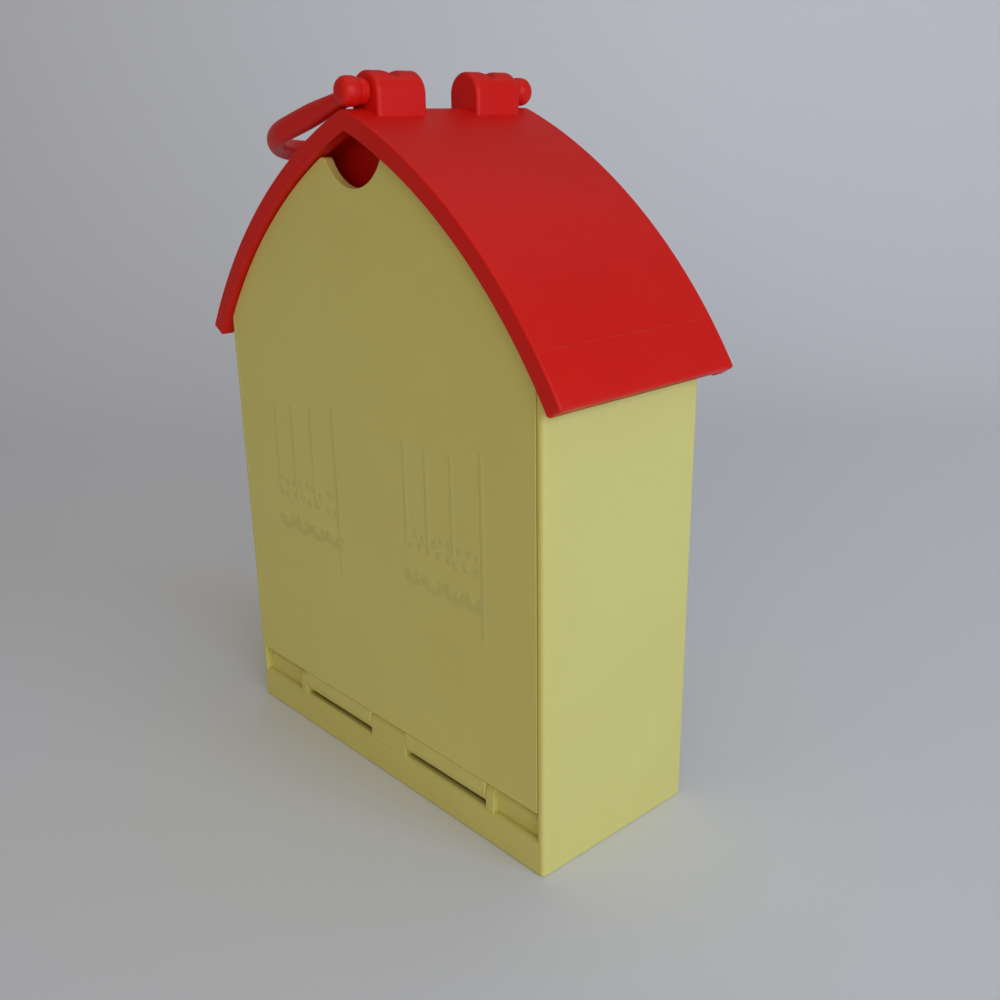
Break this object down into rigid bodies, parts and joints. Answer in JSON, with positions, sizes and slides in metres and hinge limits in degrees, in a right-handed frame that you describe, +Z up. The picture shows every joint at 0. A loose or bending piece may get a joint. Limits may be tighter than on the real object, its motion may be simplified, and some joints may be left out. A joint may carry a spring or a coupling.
{
  "type": "toy house playset",
  "caption": "Pocket toy house with a curved roof, a gable front that hinges down, an upper floor and a folding carrying handle on the ridge.",
  "frame": {"origin": "on the surface that the house stands on, midway under the roof", "axes": "+X to the right as seen from the front, the gable front faces -Y, +Z up"},
  "size_m": [0.1108, 0.0466, 0.1454],
  "materials": {
    "yellow_plastic": "satin moulded, pale yellow",
    "red_plastic": "satin moulded, red",
    "screw_steel": "zinc plated"
  },
  "bodies": {
    "house": {"house_body": "yellow_plastic", "roof_shell": "red_plastic", "upper_floor": "yellow_plastic", "roof_screw_left": "screw_steel", "roof_screw_right": "screw_steel", "floor_screw_left": "screw_steel", "floor_screw_right": "screw_steel"},
    "panel": {"front_panel": "yellow_plastic"},
    "handle": {"carry_handle": "red_plastic"}
  },
  "joints": [
    {"name": "panel_hinge", "type": "hinge", "parent": "house", "child": "panel", "pos_m": [0.0016, -0.01835, 0.0106], "axis": [1, 0, 0], "range_deg": [0, 90]},
    {"name": "handle_swing", "type": "hinge", "parent": "house", "child": "handle", "pos_m": [0, 0, 0.1417], "axis": [0, 1, 0], "range_deg": [-4, 216]}
  ]
}
